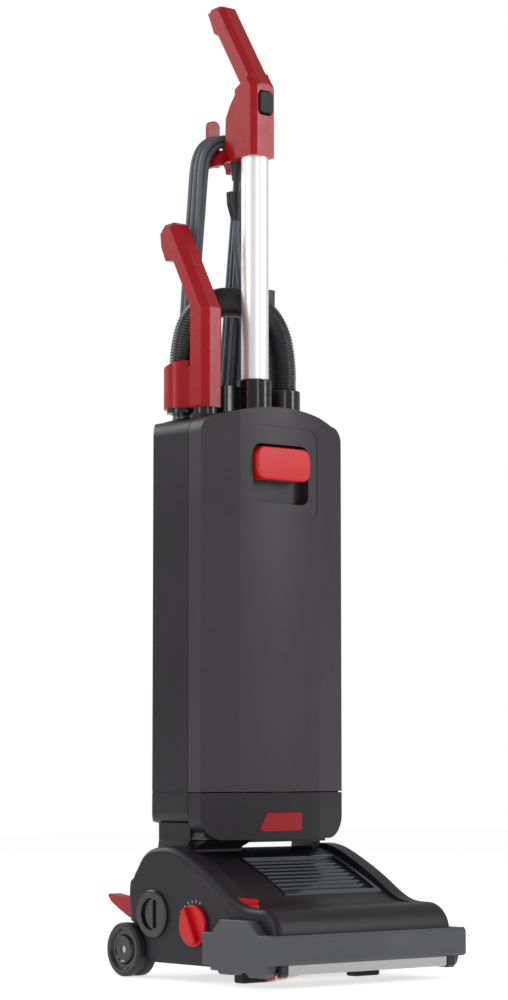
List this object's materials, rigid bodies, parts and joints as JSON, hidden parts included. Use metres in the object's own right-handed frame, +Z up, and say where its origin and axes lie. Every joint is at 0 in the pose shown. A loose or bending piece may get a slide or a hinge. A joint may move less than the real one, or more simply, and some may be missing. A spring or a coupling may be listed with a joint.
{
  "type": "upright vacuum cleaner",
  "caption": "Upright bagged vacuum cleaner with reclining dust housing, powered brush head, lift-out hose wand, tool and cord wound on rear hooks.",
  "frame": {"origin": "on the floor, in the middle of the footprint box of the machine without its cord", "axes": "+Z up, -Y towards the nozzle's front edge, +X to the right as seen from the front"},
  "size_m": [0.31, 0.3656, 1.243],
  "materials": {
    "charcoal": "fine moulded texture",
    "dark_shell": "fine moulded texture",
    "bumper_grey": "matt soft bumper",
    "black_gloss": "glossy black",
    "red_gloss": "deep red, satin gloss",
    "bright_red": "bright red, satin gloss",
    "bristle_red": "stiff nylon bristle",
    "tube_metal": "satin anodised",
    "sole_metal": "brushed",
    "steel": "plain",
    "tyre_black": "moulded rubber",
    "belt_rubber": "matt",
    "hose_black": "corrugated, glossy",
    "cord_grey": "matt jacket",
    "bag_paper": "non-woven bag",
    "filter_media": "pleated",
    "nylon": "plain nylon"
  },
  "bodies": {
    "head": {"head_cover": "charcoal", "head_base": "dark_shell", "bumper": "bumper_grey", "sole_plate": "sole_metal", "lip_ends": "dark_shell", "deck_grille": "black_gloss", "port_collar": "black_gloss", "pedal_spring": "steel", "head_fasteners": "steel", "brush_motor": "steel", "drive_belt": "belt_rubber", "brush_bearings": "steel", "suction_neck": "dark_shell"},
    "wheel_left": {"wheel_left": "black_gloss", "tyre_left": "tyre_black"},
    "wheel_right": {"wheel_right": "black_gloss", "tyre_right": "tyre_black"},
    "brush_roll": {"brush_core": "dark_shell", "bristle_rows": "bristle_red"},
    "motor_rotor": {"motor_pulley": "steel"},
    "knob": {"height_knob": "bright_red"},
    "carriage": {"glide_carriage": "nylon"},
    "pedal": {"foot_pedal": "red_gloss"},
    "cap": {"port_cap": "black_gloss"},
    "brush_release": {"brush_latch": "bright_red"},
    "upper": {"rear_housing": "charcoal", "lower_panel": "charcoal", "cover_hinge_pin": "steel", "pivot_drum": "dark_shell", "corner_fairing": "dark_shell", "motor_deck": "dark_shell", "vacuum_motor": "steel", "motor_seal": "belt_rubber", "exhaust_filter": "filter_media", "dust_bag": "bag_paper", "bag_collar": "nylon", "handle_tube": "tube_metal", "tube_socket": "black_gloss", "handle_left": "red_gloss", "handle_right": "red_gloss", "upper_hook": "red_gloss", "lower_hook": "dark_shell", "hose_cuff": "black_gloss", "hose": "hose_black", "tool_holder": "dark_shell", "strain_relief": "cord_grey", "cord_connector": "cord_grey", "cord_lead": "cord_grey", "cord_hank": "cord_grey", "cord_tail": "cord_grey", "cord_plug": "cord_grey"},
    "fan": {"motor_fan": "dark_shell"},
    "cover": {"front_cover": "charcoal", "latch_pin": "steel"},
    "latch": {"latch_button": "bright_red"},
    "tab": {"release_tab": "red_gloss"},
    "switch": {"handle_switch": "black_gloss"},
    "wand": {"wand_handle": "red_gloss", "wand_tube": "black_gloss"},
    "tool": {"crevice_tool": "dark_shell"}
  },
  "joints": [
    {"name": "recline", "type": "hinge", "parent": "head", "child": "upper", "pos_m": [0, 0.06125, 0.105], "axis": [-1, 0, 0], "range_deg": [0, 80]},
    {"name": "wheel_left_spin", "type": "hinge", "parent": "head", "child": "wheel_left", "pos_m": [-0.134, 0.11025, 0.033], "axis": [1, 0, 0], "continuous": true},
    {"name": "wheel_right_spin", "type": "hinge", "parent": "head", "child": "wheel_right", "pos_m": [0.134, 0.11025, 0.033], "axis": [1, 0, 0], "continuous": true},
    {"name": "brush_spin", "type": "hinge", "parent": "head", "child": "brush_roll", "pos_m": [0, -0.12675, 0.044], "axis": [1, 0, 0], "continuous": true},
    {"name": "motor_spin", "type": "hinge", "parent": "head", "child": "motor_rotor", "pos_m": [0.108, -0.02175, 0.062], "axis": [1, 0, 0], "continuous": true},
    {"name": "knob_turn", "type": "hinge", "parent": "head", "child": "knob", "pos_m": [-0.142, -0.02025, 0.067], "axis": [-1, 0, 0], "range_deg": [0, 120]},
    {"name": "glide_lift", "type": "slide", "parent": "head", "child": "carriage", "axis": [0, 0, -1], "range_m": [0, 0.006]},
    {"name": "pedal_press", "type": "hinge", "parent": "head", "child": "pedal", "pos_m": [-0.128, 0.10425, 0.085], "axis": [-1, 0, 0], "range_deg": [0, 10], "stiffness_Nm_per_rad": 2, "springref_deg": -2.86},
    {"name": "port_cap_turn", "type": "hinge", "parent": "head", "child": "cap", "pos_m": [-0.14, 0.06095, 0.078], "axis": [-1, 0, 0], "range_deg": [0, 60]},
    {"name": "brush_latch_press", "type": "slide", "parent": "head", "child": "brush_release", "axis": [0, 0, -1], "range_m": [0, 0.002], "stiffness_N_per_m": 300, "springref_m": -0.001},
    {"name": "fan_spin", "type": "hinge", "parent": "upper", "child": "fan", "pos_m": [0, 0.04325, 0.315], "axis": [0, 0, 1], "continuous": true},
    {"name": "cover_open", "type": "hinge", "parent": "upper", "child": "cover", "pos_m": [0, -0.01525, 0.233], "axis": [1, 0, 0], "range_deg": [0, 85]},
    {"name": "latch_pull", "type": "hinge", "parent": "cover", "child": "latch", "pos_m": [0, -0.00975, 0.648], "axis": [-1, 0, 0], "range_deg": [0, 12], "stiffness_Nm_per_rad": 0.8, "springref_deg": -5.73},
    {"name": "tab_press", "type": "slide", "parent": "upper", "child": "tab", "axis": [0, 1, 0], "range_m": [0, 0.003], "stiffness_N_per_m": 400, "springref_m": -0.001},
    {"name": "switch_rock", "type": "hinge", "parent": "upper", "child": "switch", "pos_m": [0, 0.01925, 1.1015], "axis": [-1, 0, 0], "range_deg": [0, 8]},
    {"name": "wand_lift", "type": "slide", "parent": "upper", "child": "wand", "axis": [0, 0, 1], "range_m": [0, 0.06], "deforming": ["hose"]},
    {"name": "tool_lift", "type": "slide", "parent": "upper", "child": "tool", "axis": [0, 0, 1], "range_m": [0, 0.05]}
  ],
  "couplings": [
    {"joint": "motor_spin", "follows": "brush_spin", "ratio": 2},
    {"joint": "glide_lift", "follows": "knob_turn", "m_per_rad": 0.002865}
  ]
}
